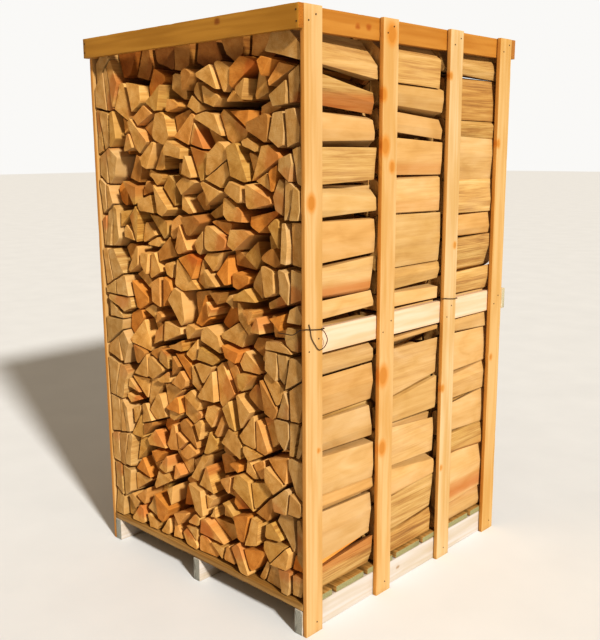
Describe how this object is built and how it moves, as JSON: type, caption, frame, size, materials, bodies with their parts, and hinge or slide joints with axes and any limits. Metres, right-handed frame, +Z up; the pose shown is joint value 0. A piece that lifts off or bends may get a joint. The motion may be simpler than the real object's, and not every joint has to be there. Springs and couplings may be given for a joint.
{
  "type": "pallet of firewood",
  "caption": "Tall slatted wooden crate on a pallet base, packed with rows of split firewood whose cut ends face the open front.",
  "frame": {"origin": "on the floor under the middle of the crate", "axes": "+Z up; -Y is the open front, where the cut ends of the logs show; the slatted sides face -X and +X"},
  "size_m": [1.1155, 1.2136, 2],
  "materials": {
    "slat": "sawn spruce, warm yellow",
    "board": "sawn spruce, weathered orange brown",
    "pale": "fresh sawn pine, cream",
    "deck": "rough sawn, tan and greyish",
    "log": "split dry hardwood with sawn ends",
    "steel": "bare drawn wire, dull"
  },
  "bodies": {
    "root": {"bearer_left": "pale", "bearer_middle": "pale", "bearer_right": "pale", "deck_board_1": "deck", "deck_board_2": "deck", "deck_board_3": "deck", "deck_board_4": "deck", "deck_board_5": "deck", "deck_board_6": "deck", "deck_board_7": "deck", "slat_left_1": "slat", "slat_left_2": "slat", "slat_left_3": "slat", "slat_left_4": "slat", "top_rail_left": "board", "middle_rail_left": "pale", "slat_right_1": "slat", "slat_right_2": "slat", "slat_right_3": "slat", "slat_right_4": "slat", "top_rail_right": "board", "middle_rail_right": "pale", "top_board_front": "board", "top_board_back": "board", "middle_board_back": "pale", "log_row_front": "log", "top_log_front_1": "log", "top_log_front_2": "log", "top_log_front_3": "log", "top_log_front_4": "log", "top_log_front_5": "log", "top_log_front_6": "log", "top_log_front_7": "log", "top_log_front_8": "log", "top_log_front_9": "log", "log_row_middle": "log", "top_log_middle_1": "log", "top_log_middle_2": "log", "top_log_middle_3": "log", "top_log_middle_4": "log", "top_log_middle_5": "log", "top_log_middle_6": "log", "top_log_middle_7": "log", "top_log_middle_8": "log", "top_log_middle_9": "log", "log_row_back": "log", "top_log_back_1": "log", "top_log_back_2": "log", "top_log_back_3": "log", "top_log_back_4": "log", "top_log_back_5": "log", "top_log_back_6": "log", "top_log_back_7": "log", "top_log_back_8": "log", "top_log_back_9": "log", "tie_wire_front": "steel", "tie_wire_third_slat": "steel"}
  },
  "joints": []
}
